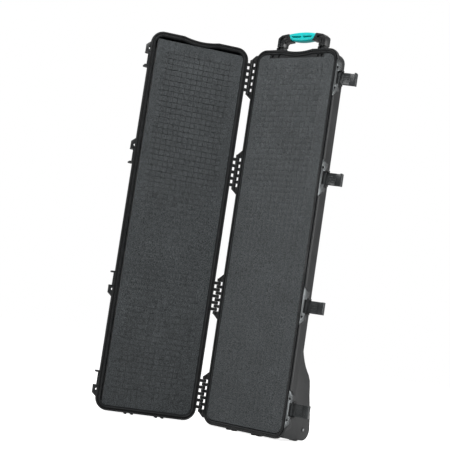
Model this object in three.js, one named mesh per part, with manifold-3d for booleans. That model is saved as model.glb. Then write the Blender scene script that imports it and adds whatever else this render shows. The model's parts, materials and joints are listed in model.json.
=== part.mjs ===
// A long wheeled equipment case of moulded plastic, opened like a book and standing on its wheel end.
//
// Each half is modelled in one case frame, in millimetres: x runs from the hinge axis across the half,
// y runs along the length (the handle end is +y, the wheel end -y) and z comes out of the open side.
// The rim planes meet at z = 0. The lid is modelled folded flat open, so it lies at negative x, and is
// then swung up about the hinge axis (the y axis). The whole case is finally stood on its wheel end.

import * as THREE from 'three';
import { mergeVertices } from 'three/addons/utils/BufferGeometryUtils.js';
import Module from 'manifold-3d';

const wasm = await Module();
wasm.setup();

// ---------------------------------------------------------------- driving dimensions

const GAP = 0.35;                // running or seating clearance between separate pieces
const LENGTH = 1390;             // rim, along the case
const WIDTH = 374;               // rim, across the case
const CORNER = 46;               // rim corner radius
const BASE_DEPTH = 84;
const LID_DEPTH = 58;
const LID_OPEN = 124.7;          // degrees, lid angle from closed

const RIM_HEIGHT = 12;           // thickness of the rim flange
const RIM_OVERHANG = 8;          // flange edge to outer wall
const RIM_SEAT = 0.3;            // each rim stands this far back from the parting plane
const WALL_DRAFT = 4;            // how far the outer wall leans in before the floor edge
const FLOOR_EDGE = 36;           // how far the rounded floor edge reaches in from the wall
const CAVITY_INSET = 18;         // flange edge to inner wall
const FLOOR = 5;                 // floor thickness
const SEAL_INSET = 8;            // flange edge to the middle of the sealing tongue and groove
const TONGUE_WIDTH = 2.6;
const TONGUE_HEIGHT = 3;
const GROOVE_WIDTH = 5.2;
const GROOVE_DEPTH = 7;

const DIP_WIDTH = 132;           // hand dip in the handle-end rim of both halves
const DIP_DEPTH = 8.5;

const HINGE_OUT = 15;            // hinge axis to rim edge
const HINGE_STATIONS = [592, 232, -232, -592];
const HINGE_LENGTH = 132;
const KNUCKLES = 11;             // of both halves together, the base's at both ends
const KNUCKLE_RADIUS = 7.5;
const HINGE_ARM_HEIGHT = 10;
const HINGE_PIN_RADIUS = 2.8;

const LATCH_STATIONS = [587, 227, -227, -587];
const LATCH_WIDTH = 44;
const LATCH_LENGTH = 64;
const LATCH_THICKNESS = 5;
const LATCH_OFFSET = 3;          // latch pin to the inner face of the latch plate
const LATCH_OUT = 7;             // latch pin to rim edge
const LATCH_DROP = 12;           // latch pin below the parting plane
const LATCH_OPEN = 120;          // degrees, latch angle from closed, at rest
const LATCH_KNUCKLE = 5.5;
const LATCH_PIN_RADIUS = 2.4;
const LUG_THICKNESS = 6;         // lugs and ribs on each side of a latch
const LUG_OUT = 19;              // base lug tips beyond the rim edge
const LUG_HEIGHT = 26;           // base lug tips below the parting plane
const LUG_FOOT = 62;             // base lugs run down the wall to this depth
const RIB_OUT = 11;              // lid rib tips beyond the rim edge
const RIB_HEIGHT = 46;           // lid ribs, above the parting plane
const CATCH_IN = 4.5;            // the lid's catch bar stands this far inside the rim edge
const CATCH_HEIGHT = 40;         // top of the catch bar above the parting plane
const CATCH_THICKNESS = 5;
const LIP_LENGTH = 11;           // the latch's hooked end
const HOOK_REACH = 16;           // latch pin to the tip of its hook
const HOOK_TAPER = 3;
const SLOT_DEPTH = 3;            // blind slot in the latch's inner face, beside its pin
const SLOT_START = 4.5;
const SLOT_HEIGHT = 4.5;
const GROOVE_START = 14;         // cross groove in the latch's inner face, before its hook
const GROOVE_ACROSS = 6;

const EAR_OUT = 15;              // ears beside the latches, beyond the rim edge
const EAR_HEIGHT = 11;
const EAR_STRAIGHT = 28;         // the ear's straight edge beside the latch
const EAR_CHAMFER = 20;
const LEDGE_OUT = 4.5;           // the ledge that joins two ears, beyond the rim edge
const LEDGE_HEIGHT = 5;
const EAR_HOLE_RADIUS = 4;
const EAR_HOLE_OUT = 1.5;        // padlock hole centre beyond the rim edge
const EAR_HOLE_OFFSET = 37;      // padlock hole centre to latch centre
const LOCK_PLATE = 1.5;          // thickness of the steel lock plates
const LOCK_PLATE_MARGIN = 1;     // plate edge to ear edge

const FOAM_GAP = 0.8;            // foam to wall
const PAD_THICKNESS = 12;        // plain foam under the cubed foam
const BASE_FOAM_DROP = 2;        // foam face below the rim
const LID_FOAM_DROP = 8;

const RECESS_WIDTH = 236;        // end-wall recess that takes the folded handle
const RECESS_DEPTH = 27;         // rim end to recess floor
const RECESS_WALL = 4;
const HANDLE_WIDTH = 214;
const HANDLE_REACH = 65;         // handle pivot to the crown of the grip
const HANDLE_THICKNESS = 32;
const HANDLE_DROP = 32;          // handle pivot below the parting plane
const HANDLE_BEYOND = 3;         // handle pivot beyond the rim end
const ARM_WIDTH = 28;
const ARM_ROOT = 16;             // arm width between its cheeks
const ARM_ROOT_RADIUS = 9;
const ARM_GROOVE = 11;
const ARM_GROOVE_DEPTH = 9;
const SHOULDER_DROP = 20;        // grip crown to the arm's outer corner
const SHOULDER_RUN = 42;         // length of the sloping shoulder across the case
const BAR = 14;                  // bar inside the grip
const BAR_BELOW = 11;            // grip crown to the bar
const GRIP_LENGTH = 120;
const GRIP_HEIGHT = 24;          // at its ends
const GRIP_CROWN = 5;            // extra height at its middle, above and below
const GRIP_THICKNESS = 34;
const SLIT_LENGTH = 40;
const SLIT_WIDTH = 5;
const CHEEK_THICKNESS = 8;
const CHEEK_RADIUS = 11;
const HANDLE_PIN_RADIUS = 3.5;

const WHEEL_RADIUS = 44;
const WHEEL_WIDTH = 28;
const TYRE_THICKNESS = 9;
const AXLE_RADIUS = 4;
const AXLE_BACK = 126;           // axle behind the parting plane
const WHEEL_CLEARANCE = 3;
const HOUSING_WIDTH = 74;        // each wheel housing, across the case
const HOUSING_RADIUS = 38;       // its round end, about the axle
const HOUSING_INSET = 12;        // rim edge to the housing's outer side
const HOUSING_START = 317;       // where the housings begin to flare, above the rim's wheel end
const HOUSING_RAMP = [           // down the ramp: distance from its start, depth below the floor
  [0, -FLOOR_EDGE * 0.4],
  [42, -5],
  [70, 16],
  [103, 41],
  [155, 52],
  [222, 71],
];
const WELL_WALL = 4;             // between wheel well and foam
const WEB_DEPTH = 108;           // the lower ramp between the housings
const WEB_START = 42;            // from the start of the ramp
const WEB_LEVEL = 130;
const STAND_OFF = 5;             // ground below the rim's wheel end

const FOOT_RIBS = [-69, -45, 45, 69];   // across the case, from the middle
const FOOT_RIB_WIDTH = 6;
const FOOT_RIB_LENGTH = 44;

const TYRE_SHOULDER = 4;
const GRIP_ROUND = 6;

const VALVE_RADIUS = 11;
const VALVE_HEIGHT = 3;
const VALVE_STEM = 6;

// ---------------------------------------------------------------- derived places

const END = LENGTH / 2;
const RIM_NEAR = HINGE_OUT;
const RIM_FAR = HINGE_OUT + WIDTH;
const MIDDLE = HINGE_OUT + WIDTH / 2;
const GROUND = -END - STAND_OFF;
const RIM_FACE = -RIM_SEAT;
const LATCH_X = RIM_FAR + LATCH_OUT;
const SLOT_HALF = LATCH_WIDTH / 2 + GAP;
const WALL_INSIDE = RIM_FAR - RIM_OVERHANG - FLOOR_EDGE / 2;   // an x inside the latch side's wall
const AXLE_Y = GROUND + WHEEL_RADIUS;
const HANDLE_Y = END + HANDLE_BEYOND;
const CROWN_Y = HANDLE_Y + HANDLE_REACH;
const RECESS_FACE = END - RECESS_DEPTH;
const FAR = LENGTH;              // beyond everything, for cutting tools

// ---------------------------------------------------------------- materials

const standard = (color, roughness, metalness = 0) =>
  new THREE.MeshStandardMaterial({ color, roughness, metalness });

const shellPlastic = standard(0x2b2e2f, 0.55);
const latchPlastic = standard(0x333738, 0.45);
const foam = standard(0x484b4c, 0.95);
const padFoam = standard(0x3a3d3e, 0.95);
const sealRubber = standard(0x161717, 0.8);
const tyreRubber = standard(0x121212, 0.85);
const hubPlastic = standard(0x3a3d3e, 0.6);
const gripRubber = standard(0x12b5b0, 0.6);
const armPlastic = standard(0x3f4244, 0.5);
const steel = standard(0xb8bcbe, 0.3, 0.9);

// ---------------------------------------------------------------- solid helpers

function solidOf(geometry) {
  const bare = geometry.clone();
  bare.deleteAttribute('normal');
  bare.deleteAttribute('uv');
  const merged = mergeVertices(bare, 1e-4);
  return new wasm.Manifold(new wasm.Mesh({
    numProp: 3,
    vertProperties: new Float32Array(merged.attributes.position.array),
    triVerts: new Uint32Array(merged.index.array),
  }));
}

function geometryOf(solid) {
  const mesh = solid.getMesh();
  const geometry = new THREE.BufferGeometry();
  geometry.setAttribute('position', new THREE.BufferAttribute(mesh.vertProperties, 3));
  geometry.setIndex(new THREE.BufferAttribute(mesh.triVerts, 1));
  geometry.computeVertexNormals();
  return geometry;
}

const join = (...solids) => solids.reduce((whole, one) => whole.add(one));
const cut = (body, ...tools) => tools.reduce((rest, tool) => rest.subtract(tool), body);

function box(x0, x1, y0, y1, z0, z1) {
  const geometry = new THREE.BoxGeometry(x1 - x0, y1 - y0, z1 - z0);
  return solidOf(geometry.translate((x0 + x1) / 2, (y0 + y1) / 2, (z0 + z1) / 2));
}

const extrude = (points, depth) => new THREE.ExtrudeGeometry(
  new THREE.Shape(points.map(([u, v]) => new THREE.Vector2(u, v))),
  { depth, bevelEnabled: false },
);

// Turns (u, v, w) into (w, u, v), so that an outline drawn in y and z runs along x.
const ALONG_X = new THREE.Matrix4().set(0, 0, 1, 0, 1, 0, 0, 0, 0, 1, 0, 0, 0, 0, 0, 1);

const prismXY = (points, z0, z1) => solidOf(extrude(points, z1 - z0).translate(0, 0, z0));
const prismYZ = (points, x0, x1) => (
  solidOf(extrude(points, x1 - x0).applyMatrix4(ALONG_X).translate(x0, 0, 0))
);
const prismXZ = (points, y0, y1) => (
  solidOf(extrude(points, y1 - y0).rotateX(Math.PI / 2).translate(0, y1, 0))
);

const cylinder = (radius, length, sides) => new THREE.CylinderGeometry(radius, radius, length, sides);

function rodY(x, z, radius, y0, y1, sides = 14) {
  return solidOf(cylinder(radius, y1 - y0, sides).translate(x, (y0 + y1) / 2, z));
}

function rodX(y, z, radius, x0, x1, sides = 14) {
  return solidOf(cylinder(radius, x1 - x0, sides).rotateZ(Math.PI / 2).translate((x0 + x1) / 2, y, z));
}

function rodZ(x, y, radius, z0, z1, sides = 14) {
  return solidOf(cylinder(radius, z1 - z0, sides).rotateX(Math.PI / 2).translate(x, y, (z0 + z1) / 2));
}

// Points on a circular arc, with its angles in degrees.
function arc(u, v, radius, from, to, steps) {
  const points = [];
  for (let i = 0; i <= steps; i += 1) {
    const angle = THREE.MathUtils.degToRad(from + ((to - from) * i) / steps);
    points.push([u + radius * Math.cos(angle), v + radius * Math.sin(angle)]);
  }
  return points;
}

// The geometry of a closed body through outlines with equally many points, the lowest first.
function loft(levels) {
  const count = levels[0].outline.length;
  const positions = [];
  const index = [];
  for (const { outline, w } of levels) {
    for (const [u, v] of outline) positions.push(u, v, w);
  }
  for (let level = 0; level + 1 < levels.length; level += 1) {
    for (let i = 0; i < count; i += 1) {
      const a = level * count + i;
      const b = level * count + ((i + 1) % count);
      index.push(a, b, b + count, a, b + count, a + count);
    }
  }
  const cap = ({ outline }) => THREE.ShapeUtils.triangulateShape(
    outline.map(([u, v]) => new THREE.Vector2(u, v)),
    [],
  );
  const top = (levels.length - 1) * count;
  for (const [a, b, c] of cap(levels[0])) index.push(a, c, b);
  for (const [a, b, c] of cap(levels.at(-1))) index.push(top + a, top + b, top + c);
  const geometry = new THREE.BufferGeometry();
  geometry.setAttribute('position', new THREE.Float32BufferAttribute(positions, 3));
  geometry.setIndex(index);
  return geometry;
}

// The rim's outline drawn in by an inset, anticlockwise, with the hand dip in the handle end.
function rimOutline(middle, inset) {
  const halfX = WIDTH / 2 - inset;
  const halfY = END - inset;
  const radius = Math.max(CORNER - inset, CORNER / 6);
  const left = middle - halfX + radius;
  const right = middle + halfX - radius;
  const dip = [];
  const steps = 8;
  for (let i = 0; i <= steps; i += 1) {
    const across = 1 - (2 * i) / steps;
    dip.push([middle + (across * DIP_WIDTH) / 2, halfY - DIP_DEPTH * (1 - across ** 2)]);
  }
  return [
    ...arc(right, -halfY + radius, radius, -90, 0, 5),
    ...arc(right, halfY - radius, radius, 0, 90, 5),
    ...dip,
    ...arc(left, halfY - radius, radius, 90, 180, 5),
    ...arc(left, -halfY + radius, radius, 180, 270, 5),
  ];
}

// A tray-shaped body: each step gives the inset from the rim edge and the height.
const tray = (middle, steps) => solidOf(loft(
  steps.map(([inset, w]) => ({ outline: rimOutline(middle, inset), w })),
));

// A band that runs all the way round the rim.
const rimBand = (middle, inset, width, z0, z1) => cut(
  tray(middle, [[inset - width / 2, z0], [inset - width / 2, z1]]),
  tray(middle, [[inset + width / 2, z0 - 1], [inset + width / 2, z1 + 1]]),
);

function piece(group, name, solid, material) {
  const mesh = new THREE.Mesh(geometryOf(solid), material);
  mesh.name = name;
  group.add(mesh);
  return mesh;
}

// ---------------------------------------------------------------- one half's shell

// The outside of one half: flange, drafted wall and rounded floor edge.
const shellOutside = (middle, depth) => {
  const wall = RIM_OVERHANG + WALL_DRAFT;
  const edge = FLOOR_EDGE;
  return tray(middle, [
    [wall + edge, -depth],
    [wall + edge * 0.6, -depth + edge * 0.11],
    [wall + edge * 0.22, -depth + edge * 0.45],
    [wall, -depth + edge * 0.9],
    [RIM_OVERHANG, -RIM_HEIGHT - RIM_OVERHANG / 2],
    [0, -RIM_HEIGHT],
    [0, RIM_FACE],
  ]);
};

// The room inside one half between two heights, drawn in by a gap.
const shellRoom = (middle, depth, gap, bottom, top) => {
  const floor = -depth + FLOOR + gap;
  const wall = CAVITY_INSET + gap;
  const room = tray(middle, [
    [wall + FLOOR_EDGE * 0.66, floor],
    [wall + FLOOR_EDGE * 0.22, floor + FLOOR_EDGE * 0.22],
    [wall, floor + FLOOR_EDGE * 0.72],
    [wall, 1],
  ]);
  const side = [middle - FAR, middle + FAR, -FAR, FAR];
  return cut(room, box(...side, -FAR, bottom), box(...side, top, FAR));
};

// One half's share of a hinge: every second knuckle, with its arm back to the rim.
function knuckles(station, side, first) {
  const pitch = HINGE_LENGTH / KNUCKLES;
  const root = side * (HINGE_OUT + RIM_OVERHANG);
  const parts = [];
  for (let i = first; i < KNUCKLES; i += 2) {
    const y0 = station - HINGE_LENGTH / 2 + i * pitch + GAP;
    const y1 = y0 + pitch - 2 * GAP;
    parts.push(rodY(0, 0, KNUCKLE_RADIUS, y0, y1, 16));
    parts.push(box(Math.min(0, root), Math.max(0, root), y0, y1, -HINGE_ARM_HEIGHT, RIM_FACE));
  }
  return join(...parts);
}

const hingeBore = (station) => rodY(
  0, 0, HINGE_PIN_RADIUS + 2 * GAP,
  station - HINGE_LENGTH / 2 - 1, station + HINGE_LENGTH / 2 + 1, 12,
);

// Room for the other half's knuckles where the rim flange would touch them.
const knuckleRelief = (station) => rodY(
  0, 0, KNUCKLE_RADIUS + 3 * GAP,
  station - HINGE_LENGTH / 2 - 1, station + HINGE_LENGTH / 2 + 1, 16,
);

// ---------------------------------------------------------------- ears and ledges at the latches

// Which sides of a base latch have a padlock hole: both at the end latches, the outer one elsewhere.
const hasHole = (station, side) => Math.abs(station) > END / 2 || side * station > 0;

// The lid has one ear at each latch, on the side away from the middle.
const lidEarSide = (station) => Math.sign(station);

// The ears and the ledge between them at one latch, drawn in by an inset. ears lists the sides that
// have an ear, and s turns x for the lid.
function earOutline(station, ears, s, inset = 0) {
  const across = EAR_OUT + RIM_OVERHANG;
  const slope = Math.hypot(EAR_CHAMFER, across);
  const near = SLOT_HALF + inset;
  const straight = SLOT_HALF + EAR_STRAIGHT - (inset * (slope - EAR_CHAMFER)) / across;
  const end = SLOT_HALF + EAR_STRAIGHT + EAR_CHAMFER - (inset * (slope + EAR_CHAMFER)) / across;
  const root = -RIM_OVERHANG + inset;
  const ear = [
    [LEDGE_OUT - inset, near],
    [EAR_OUT - inset, near],
    [EAR_OUT - inset, straight],
    [root, end],
  ];
  const noEar = [[LEDGE_OUT - inset, near], [root, near]];
  const half = (side) => (ears.includes(side) ? ear : noEar).map(([x, y]) => [x, side * y]);
  return [...half(1), ...half(-1).reverse()].map(([x, y]) => [s * (RIM_FAR + x), station + y]);
}

const earHole = (station, side, s) => rodZ(
  s * (RIM_FAR + EAR_HOLE_OUT), station + side * EAR_HOLE_OFFSET,
  EAR_HOLE_RADIUS, -2 * EAR_HEIGHT, 1, 12,
);

// The moulded ears and their thinner ledge, which stays clear of the latch's barrel.
function ears(station, sides, s) {
  const outline = earOutline(station, sides, s);
  const ledge = prismXY(outline, RIM_FACE - LEDGE_HEIGHT, RIM_FACE);
  const thick = prismXY(outline, RIM_FACE - EAR_HEIGHT, RIM_FACE - LEDGE_HEIGHT);
  const edge = s * RIM_FAR;
  const beyond = s * FAR;
  const beside = box(
    Math.min(edge, beyond), Math.max(edge, beyond),
    station - SLOT_HALF, station + SLOT_HALF, -FAR, FAR,
  );
  return join(ledge, cut(thick, beside));
}

// ---------------------------------------------------------------- base half

// Lugs on each side of a latch that carry its pin and run down the wall as fins.
function latchLugs(station) {
  const parts = [];
  for (const side of [-1, 1]) {
    const y = [station + side * SLOT_HALF, station + side * (SLOT_HALF + LUG_THICKNESS)];
    parts.push(prismXZ([
      [WALL_INSIDE, -LUG_FOOT],
      [RIM_FAR + LUG_OUT - LATCH_KNUCKLE, -LUG_HEIGHT],
      [RIM_FAR + LUG_OUT, -LUG_HEIGHT + LATCH_KNUCKLE],
      [RIM_FAR + LUG_OUT, -LATCH_KNUCKLE],
      [RIM_FAR + LUG_OUT - LATCH_KNUCKLE, RIM_FACE - LOCK_PLATE],
      [WALL_INSIDE, RIM_FACE - LOCK_PLATE],
    ], Math.min(...y), Math.max(...y)));
  }
  return join(...parts);
}

// The steel plate let into both ears and the ledge of one latch.
function lockPlate(station) {
  const z1 = RIM_FACE - GAP / 2;
  const outline = earOutline(station, [-1, 1], 1, LOCK_PLATE_MARGIN);
  const whole = prismXY(outline, z1 - LOCK_PLATE, z1);
  const clearOfRim = box(0, RIM_FAR - SEAL_INSET + GROOVE_WIDTH / 2, -FAR, FAR, -FAR, FAR);
  const holes = [-1, 1].filter((side) => hasHole(station, side));
  return cut(whole, clearOfRim, ...holes.map((side) => earHole(station, side, 1)));
}

function lockPlateSeat(station) {
  const outline = earOutline(station, [-1, 1], 1, LOCK_PLATE_MARGIN - GAP);
  const whole = prismXY(outline, RIM_FACE - GAP / 2 - LOCK_PLATE - GAP, 1);
  const clearOfRim = box(0, RIM_FAR - SEAL_INSET + GROOVE_WIDTH / 2 - GAP, -FAR, FAR, -FAR, FAR);
  return cut(whole, clearOfRim);
}

// The housing's side view: a ramp off the floor, then a round end about the axle.
const housingOutline = () => [
  [-END + HOUSING_START, -BASE_DEPTH + FLOOR_EDGE],
  ...HOUSING_RAMP.map(([along, below]) => [-END + HOUSING_START - along, -BASE_DEPTH - below]),
  ...arc(AXLE_Y, -AXLE_BACK, HOUSING_RADIUS, 290, 180, 8),
  [-END + RIM_OVERHANG / 2, -BASE_DEPTH + FLOOR_EDGE],
  [-END + RIM_OVERHANG, -RIM_HEIGHT],
];

const housingSides = () => [
  [RIM_NEAR + HOUSING_INSET, RIM_NEAR + HOUSING_INSET + HOUSING_WIDTH],
  [RIM_FAR - HOUSING_INSET - HOUSING_WIDTH, RIM_FAR - HOUSING_INSET],
];

const webOutline = () => [
  [-END + HOUSING_START - WEB_START, -BASE_DEPTH + FLOOR],
  [-END + RIM_OVERHANG + WALL_DRAFT, -BASE_DEPTH + FLOOR],
  [-END + RIM_OVERHANG + WALL_DRAFT, -WEB_DEPTH + WALL_DRAFT],
  [-END + RIM_OVERHANG + 3 * WALL_DRAFT, -WEB_DEPTH],
  [-END + HOUSING_START - WEB_LEVEL, -WEB_DEPTH],
];

// Where a wheel turns, open to the ground and to the back.
function wheelWell([x0, x1]) {
  const middle = (x0 + x1) / 2;
  const half = WHEEL_WIDTH / 2 + WHEEL_CLEARANCE;
  return rodX(AXLE_Y, -AXLE_BACK, WHEEL_RADIUS + WHEEL_CLEARANCE, middle - half, middle + half, 32);
}

// The raised patch of floor above a wheel.
function wellRoof([x0, x1], gap) {
  const middle = (x0 + x1) / 2;
  const half = WHEEL_WIDTH / 2 + WHEEL_CLEARANCE + WELL_WALL + gap;
  const reach = WHEEL_RADIUS + WHEEL_CLEARANCE + gap;
  const top = -AXLE_BACK + WHEEL_RADIUS + WHEEL_CLEARANCE + WELL_WALL + gap;
  return box(middle - half, middle + half, -END + CAVITY_INSET / 2, AXLE_Y + reach, -BASE_DEPTH, top);
}

const cheekOutline = () => [
  [RECESS_FACE - RECESS_WALL / 2, -HANDLE_DROP + CHEEK_RADIUS],
  [RECESS_FACE - RECESS_WALL / 2, -HANDLE_DROP - CHEEK_RADIUS],
  ...arc(HANDLE_Y, -HANDLE_DROP, CHEEK_RADIUS, -90, 90, 8),
];

const armMiddles = [-1, 1].map((side) => MIDDLE + (side * (HANDLE_WIDTH - ARM_WIDTH)) / 2);

function handleCheeks(x) {
  const inner = ARM_ROOT / 2 + GAP;
  return join(
    prismYZ(cheekOutline(), x + inner, x + inner + CHEEK_THICKNESS),
    prismYZ(cheekOutline(), x - inner - CHEEK_THICKNESS, x - inner),
  );
}

const handleRecess = () => box(
  MIDDLE - RECESS_WIDTH / 2, MIDDLE + RECESS_WIDTH / 2, RECESS_FACE, FAR, -FAR, -RIM_HEIGHT + RIM_FACE,
);

// The thickness of wall that closes the recess off from the foam.
const recessWall = (gap) => box(
  MIDDLE - RECESS_WIDTH / 2 - RECESS_WALL - gap, MIDDLE + RECESS_WIDTH / 2 + RECESS_WALL + gap,
  RECESS_FACE - RECESS_WALL - gap, END - RIM_OVERHANG, -BASE_DEPTH + 1, -RIM_HEIGHT / 2 + gap,
);

// Foot ribs under the wheel end's rim; s turns x for the folded-open lid.
function footRibs(s) {
  const parts = FOOT_RIBS.map((across) => {
    const x = s * (MIDDLE + across);
    return prismYZ([
      [GROUND, -2 * STAND_OFF],
      [-END + CAVITY_INSET / 2, RIM_FACE],
      [-END + CAVITY_INSET / 2, -FOOT_RIB_LENGTH],
      [GROUND + 2, -FOOT_RIB_LENGTH + RIM_OVERHANG],
      [GROUND, -FOOT_RIB_LENGTH + 2 * RIM_OVERHANG],
    ], x - FOOT_RIB_WIDTH / 2, x + FOOT_RIB_WIDTH / 2);
  });
  return join(...parts);
}

function baseShell() {
  const sides = housingSides();
  let shell = shellOutside(MIDDLE, BASE_DEPTH);
  shell = join(shell, ...sides.map(([x0, x1]) => prismYZ(housingOutline(), x0, x1)));
  shell = join(shell, prismYZ(webOutline(), sides[0][1] - 1, sides[1][0] + 1));
  shell = join(shell, footRibs(1), ...LATCH_STATIONS.map(latchLugs));
  shell = cut(shell, shellRoom(MIDDLE, BASE_DEPTH, 0, -BASE_DEPTH, 1));
  shell = join(shell, recessWall(0), ...sides.map((side) => wellRoof(side, 0)));
  shell = cut(shell, handleRecess(), ...sides.map(wheelWell));
  shell = join(shell, ...armMiddles.map(handleCheeks));
  shell = join(shell, rimBand(MIDDLE, SEAL_INSET, TONGUE_WIDTH, RIM_FACE - 1, TONGUE_HEIGHT));
  for (const station of LATCH_STATIONS) {
    const holes = [-1, 1].filter((side) => hasHole(station, side));
    shell = join(shell, ears(station, [-1, 1], 1));
    shell = cut(shell, lockPlateSeat(station), latchPin(station, GAP));
    shell = cut(shell, ...holes.map((side) => earHole(station, side, 1)));
  }
  for (const station of HINGE_STATIONS) {
    shell = cut(shell, knuckleRelief(station));
    shell = cut(join(shell, knuckles(station, 1, 0)), hingeBore(station));
  }
  shell = cut(shell, ...sides.map(axleBore), ...armMiddles.map((x) => handlePin(x, GAP)));
  return cut(shell, rodY(MIDDLE, -BASE_DEPTH / 2, VALVE_STEM + GAP, RECESS_FACE - 2 * RECESS_WALL, END));
}

// ---------------------------------------------------------------- pins, axles, wheels, valve

function latchPin(station, gap) {
  const half = SLOT_HALF + LUG_THICKNESS - 1 + gap;
  return rodY(LATCH_X, -LATCH_DROP, LATCH_PIN_RADIUS + gap, station - half, station + half, 12);
}

function handlePin(x, gap) {
  const half = ARM_ROOT / 2 + GAP + CHEEK_THICKNESS - 1 + gap;
  return rodX(HANDLE_Y, -HANDLE_DROP, HANDLE_PIN_RADIUS + gap, x - half, x + half, 12);
}

const hingePin = (station) => rodY(
  0, 0, HINGE_PIN_RADIUS, station - HINGE_LENGTH / 2 + 1, station + HINGE_LENGTH / 2 - 1, 12,
);

const axle = ([x0, x1]) => rodX(AXLE_Y, -AXLE_BACK, AXLE_RADIUS, x0 + 1, x1 - 1);
const axleBore = ([x0, x1]) => rodX(AXLE_Y, -AXLE_BACK, AXLE_RADIUS + GAP, x0 - 1, x1 + 1);

function wheelHub([x0, x1]) {
  const middle = (x0 + x1) / 2;
  const half = WHEEL_WIDTH / 2;
  const rim = WHEEL_RADIUS - TYRE_THICKNESS - GAP;
  const dish = (a, b) => cut(
    rodX(AXLE_Y, -AXLE_BACK, rim - 5, a, b, 24),
    rodX(AXLE_Y, -AXLE_BACK, AXLE_RADIUS + 7, a - 1, b + 1, 16),
  );
  return cut(
    rodX(AXLE_Y, -AXLE_BACK, rim, middle - half, middle + half, 28),
    dish(middle - half - 1, middle - half / 3),
    dish(middle + half / 3, middle + half + 1),
    rodX(AXLE_Y, -AXLE_BACK, AXLE_RADIUS + GAP, middle - half - 1, middle + half + 1),
  );
}

function wheelTyre([x0, x1]) {
  const middle = (x0 + x1) / 2;
  const half = WHEEL_WIDTH / 2;
  const inner = WHEEL_RADIUS - TYRE_THICKNESS;
  const profile = [
    [inner, -half],
    [WHEEL_RADIUS - TYRE_SHOULDER, -half],
    [WHEEL_RADIUS, -half + TYRE_SHOULDER],
    [WHEEL_RADIUS, half - TYRE_SHOULDER],
    [WHEEL_RADIUS - TYRE_SHOULDER, half],
    [inner, half],
    [inner, -half],
  ].map(([radius, along]) => new THREE.Vector2(radius, along));
  const ring = new THREE.LatheGeometry(profile, 36).rotateZ(Math.PI / 2);
  return solidOf(ring.translate(middle, AXLE_Y, -AXLE_BACK));
}

function valve() {
  const stem = rodY(MIDDLE, -BASE_DEPTH / 2, VALVE_STEM, RECESS_FACE - RECESS_WALL + 1, RECESS_FACE + 1);
  const cap = rodY(MIDDLE, -BASE_DEPTH / 2, VALVE_RADIUS, RECESS_FACE + GAP, RECESS_FACE + VALVE_HEIGHT, 20);
  return join(stem, cap);
}

// ---------------------------------------------------------------- foam and seal

const foamRoom = (middle, depth, bottom, top) => shellRoom(middle, depth, FOAM_GAP, bottom, top);

function baseFoam(bottom, top) {
  const room = foamRoom(MIDDLE, BASE_DEPTH, bottom, top);
  const notch = box(
    MIDDLE - RECESS_WIDTH / 2 - RECESS_WALL - FOAM_GAP, MIDDLE + RECESS_WIDTH / 2 + RECESS_WALL + FOAM_GAP,
    RECESS_FACE - RECESS_WALL - FOAM_GAP, FAR, -FAR, FAR,
  );
  return cut(room, notch, ...housingSides().map((side) => wellRoof(side, FOAM_GAP)));
}

const padTop = (depth) => -depth + FLOOR + FOAM_GAP + PAD_THICKNESS;

const seal = () => rimBand(
  -MIDDLE, SEAL_INSET, GROOVE_WIDTH - 2 * GAP,
  RIM_FACE - GROOVE_DEPTH + GAP, -TONGUE_HEIGHT - 2 * RIM_SEAT,
);

// ---------------------------------------------------------------- lid half, folded flat open

// Ribs that guard a latch, and the catch bar between them that its hooked end pulls on.
function lidCatch(station) {
  const inner = SLOT_HALF + GAP;
  const parts = [];
  for (const side of [-1, 1]) {
    const y = [station + side * inner, station + side * (inner + LUG_THICKNESS)];
    parts.push(prismXZ([
      [-WALL_INSIDE, RIM_FACE],
      [-RIM_FAR - RIB_OUT + LATCH_KNUCKLE, RIM_FACE],
      [-RIM_FAR - RIB_OUT, -LATCH_KNUCKLE],
      [-RIM_FAR - RIB_OUT, -CATCH_HEIGHT + CATCH_THICKNESS],
      [-RIM_FAR - RIB_OUT + LATCH_KNUCKLE, -CATCH_HEIGHT],
      [-WALL_INSIDE, -RIB_HEIGHT],
    ], Math.min(...y), Math.max(...y)));
  }
  parts.push(box(
    -RIM_FAR + CATCH_IN, -WALL_INSIDE, station - inner - 1, station + inner + 1,
    -CATCH_HEIGHT, -CATCH_HEIGHT + CATCH_THICKNESS,
  ));
  return join(...parts);
}

function lidShell() {
  let shell = join(shellOutside(-MIDDLE, LID_DEPTH), footRibs(-1), ...LATCH_STATIONS.map(lidCatch));
  shell = cut(shell, shellRoom(-MIDDLE, LID_DEPTH, 0, -LID_DEPTH, 1));
  for (const station of LATCH_STATIONS) {
    const side = lidEarSide(station);
    shell = cut(join(shell, ears(station, [side], -1)), earHole(station, side, -1));
  }
  for (const station of HINGE_STATIONS) {
    shell = cut(shell, knuckleRelief(station));
    shell = cut(join(shell, knuckles(station, -1, 1)), hingeBore(station));
  }
  return cut(shell, rimBand(-MIDDLE, SEAL_INSET, GROOVE_WIDTH, RIM_FACE - GROOVE_DEPTH, 1));
}

// ---------------------------------------------------------------- latch

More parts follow.
